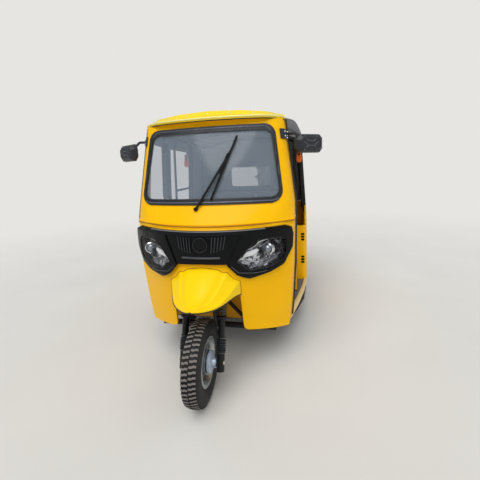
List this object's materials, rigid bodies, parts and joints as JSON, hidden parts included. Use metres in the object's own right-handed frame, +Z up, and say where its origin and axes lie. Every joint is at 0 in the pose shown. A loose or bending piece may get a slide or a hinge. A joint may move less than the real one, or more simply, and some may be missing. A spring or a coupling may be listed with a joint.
{
  "type": "auto rickshaw",
  "caption": "Passenger auto rickshaw: steel cab with flat windscreen, beaked front fender over a single steered wheel, open doorways, cloth canopy and rear bench over the engine.",
  "frame": {"origin": "ground level under the middle of the overall length, on the centre plane", "axes": "+Z up, -Y towards the front wheel (forwards), +X towards the left-hand side of the vehicle"},
  "size_m": [1.5012, 2.6249, 1.836],
  "materials": {
    "body_paint": "gloss yellow paint",
    "inner_paint": "satin yellow paint",
    "sill_paint": "satin cream yellow paint",
    "floor_paint": "satin grey paint on chequered steel",
    "frame_paint": "satin black paint",
    "bumper_paint": "gloss black paint",
    "fork_paint": "satin black paint",
    "drive_steel": "dull dark steel",
    "engine_alloy": "cast, dull",
    "brake_alloy": "cast, painted silver",
    "rim_silver": "silver paint",
    "tyre_rubber": "matte",
    "trim_plastic": "satin black",
    "dash_plastic": "grained dark grey",
    "bar_plastic": "matte black",
    "visor_plastic": "gloss yellow",
    "tail_plastic": "clear red",
    "lamp_reflector": "bright metallised",
    "lamp_glass": "clear",
    "screen_glass": "clear",
    "window_film": "clear film",
    "seal_rubber": "matte black",
    "canopy_cloth": "coated black cloth",
    "seat_cover": "dark coated cover"
  },
  "bodies": {
    "body": {"axle_shafts": "drive_steel", "cab_partition": "body_paint", "canopy": "canopy_cloth", "canopy_frame": "frame_paint", "chassis_frame": "frame_paint", "dashboard": "dash_plastic", "driver_seat_back": "seat_cover", "driver_seat_box": "body_paint", "driver_seat_cushion": "seat_cover", "engine_block": "engine_alloy", "floor_pan": "floor_paint", "front_apron": "body_paint", "front_bulkhead": "inner_paint", "front_fender": "body_paint", "front_mask": "trim_plastic", "headlamp_housings": "lamp_reflector", "headlamp_lenses": "lamp_glass", "mirror_left": "trim_plastic", "mirror_right": "trim_plastic", "passenger_seat_back": "seat_cover", "passenger_seat_cushion": "seat_cover", "rear_bumper": "bumper_paint", "rear_panel": "body_paint", "rear_quarter_left": "body_paint", "rear_quarter_right": "body_paint", "rear_suspension": "drive_steel", "rear_window": "window_film", "roof_visor": "visor_plastic", "seat_box": "body_paint", "side_guard_pipes": "bumper_paint", "side_sills": "sill_paint", "silencer": "drive_steel", "tail_lamps": "tail_plastic", "windscreen_frame": "body_paint", "windscreen_glass": "screen_glass", "windscreen_seal": "seal_rubber", "wiper": "trim_plastic"},
    "steering": {"front_fork": "fork_paint", "fork_springs": "drive_steel", "front_axle": "brake_alloy", "handlebar": "bar_plastic"},
    "front_wheel": {"front_tyre": "tyre_rubber", "front_rim": "rim_silver"},
    "rear_wheel_left": {"rear_tyre_left": "tyre_rubber", "rear_rim_left": "rim_silver"},
    "rear_wheel_right": {"rear_tyre_right": "tyre_rubber", "rear_rim_right": "rim_silver"},
    "lid": {"engine_lid": "body_paint"}
  },
  "joints": [
    {"name": "steering_head", "type": "hinge", "parent": "body", "child": "steering", "pos_m": [0, -1.02718, 0.23448], "axis": [0, 0.3256, 0.9455], "range_deg": [-38, 38]},
    {"name": "front_wheel_spin", "type": "hinge", "parent": "steering", "child": "front_wheel", "pos_m": [0, -1.065, 0.2475], "axis": [1, 0, 0], "continuous": true},
    {"name": "rear_wheel_left_spin", "type": "hinge", "parent": "body", "child": "rear_wheel_left", "pos_m": [0.59, 0.935, 0.2475], "axis": [1, 0, 0], "continuous": true},
    {"name": "rear_wheel_right_spin", "type": "hinge", "parent": "body", "child": "rear_wheel_right", "pos_m": [-0.59, 0.935, 0.2475], "axis": [1, 0, 0], "continuous": true},
    {"name": "engine_lid_hinge", "type": "hinge", "parent": "body", "child": "lid", "pos_m": [0, 1.274, 0.882], "axis": [1, 0, 0], "range_deg": [0, 75]}
  ]
}
